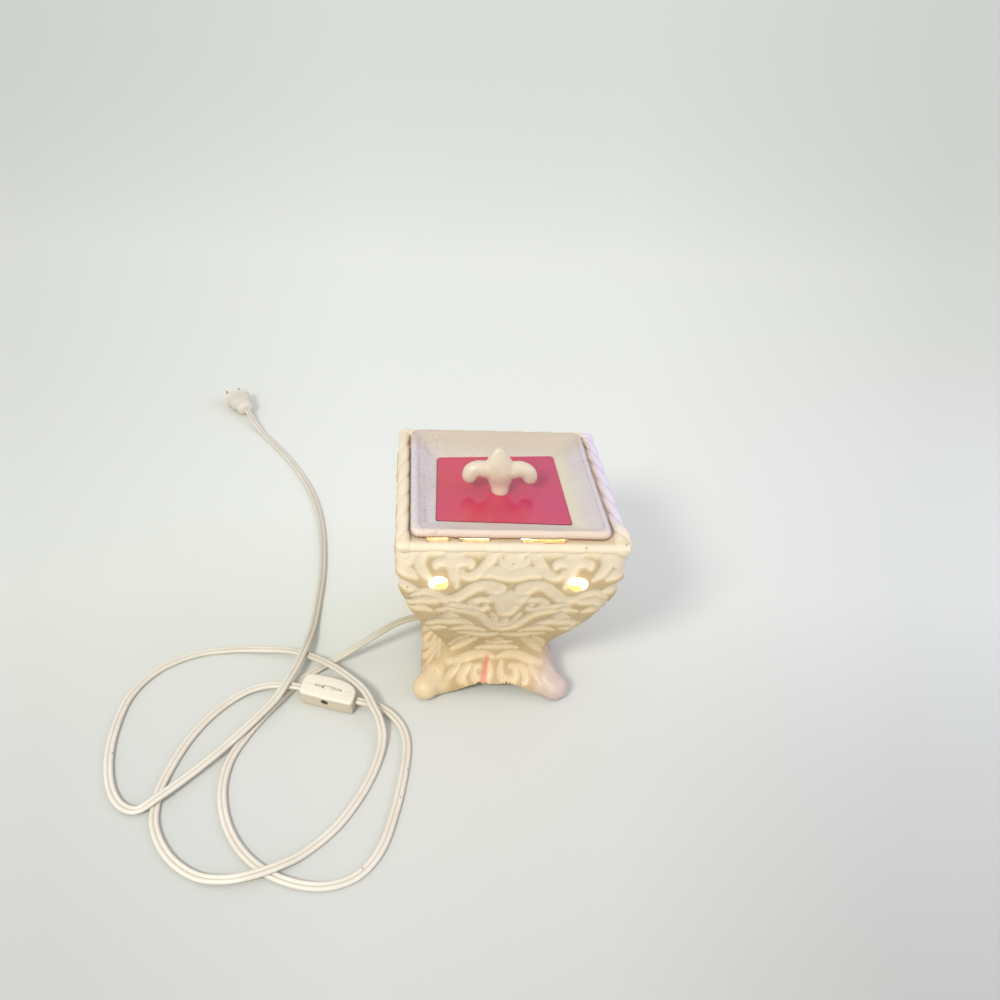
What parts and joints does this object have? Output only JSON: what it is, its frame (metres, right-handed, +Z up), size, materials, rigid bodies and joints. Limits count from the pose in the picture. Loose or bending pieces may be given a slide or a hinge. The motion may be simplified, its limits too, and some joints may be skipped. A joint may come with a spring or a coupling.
{
  "type": "electric wax warmer",
  "caption": "Square bombé ceramic wax warmer with rope rim, ball feet and a lift-off dish over a globe lamp, on a flat mains lead with a thumbwheel line switch and plug.",
  "frame": {"origin": "centre of the square that the four foot pads rest on, at table height", "axes": "+Z up, -Y towards the front wall that faces the camera, -X towards the wall the lead leaves"},
  "size_m": [0.3247, 0.5759, 0.1676],
  "materials": {
    "ivory_glaze": "warm cream satin glaze with tan in the hollows",
    "speckled_glaze": "off-white glaze with fine dark specks",
    "pink_wax": "smooth pink-red wax",
    "pad_rubber": "matt",
    "socket_phenolic": "black moulded phenolic",
    "brass": "bright",
    "zinc_steel": "zinc plated",
    "fibre_washer": "red-brown fibre",
    "clear_glass": "clear, polished",
    "cap_insulator": "black vitreous",
    "filament": "glowing",
    "ivory_vinyl": "soft satin vinyl",
    "ivory_plastic": "satin moulding",
    "white_nylon": "satin"
  },
  "bodies": {
    "base": {"ceramic_body": "ivory_glaze", "foot_pad_front_left": "pad_rubber", "foot_pad_front_right": "pad_rubber", "foot_pad_rear_left": "pad_rubber", "foot_pad_rear_right": "pad_rubber", "socket_body": "socket_phenolic", "socket_shell": "brass", "socket_contact": "brass", "terminal_screw_front": "zinc_steel", "terminal_screw_rear": "zinc_steel", "threaded_nipple": "zinc_steel", "nipple_washer": "fibre_washer", "nipple_nut": "zinc_steel", "cord_bush": "white_nylon", "core_front": "ivory_vinyl", "core_rear": "ivory_vinyl", "lead_warmer_to_switch": "ivory_vinyl", "lead_switch_to_plug": "ivory_vinyl", "switch_half_front": "ivory_plastic", "switch_half_rear": "ivory_plastic", "switch_screw": "zinc_steel", "switch_contact_left": "brass", "switch_contact_right": "brass", "plug_body": "ivory_vinyl", "plug_blade_live": "brass", "plug_blade_neutral": "brass"},
    "dish": {"wax_dish": "speckled_glaze", "fleur_finial": "speckled_glaze", "wax_melt": "pink_wax"},
    "lamp": {"lamp_cap": "brass", "lamp_insulator": "cap_insulator", "lamp_tip": "zinc_steel", "lamp_glass": "clear_glass", "lamp_stem": "clear_glass", "lamp_wire_left": "zinc_steel", "lamp_wire_right": "zinc_steel", "lamp_filament": "filament"},
    "thumbwheel": {"switch_thumbwheel": "ivory_plastic"}
  },
  "joints": [
    {"name": "dish_lift", "type": "slide", "parent": "base", "child": "dish", "axis": [0, 0, 1], "range_m": [0, 0.06]},
    {"name": "lamp_turn", "type": "hinge", "parent": "base", "child": "lamp", "pos_m": [0, 0, 0.0361], "axis": [0, 0, 1], "continuous": true},
    {"name": "wheel_turn", "type": "hinge", "parent": "base", "child": "thumbwheel", "pos_m": [-0.11, -0.0524, 0.0073], "axis": [0.2924, 0.9563, 0], "continuous": true}
  ]
}
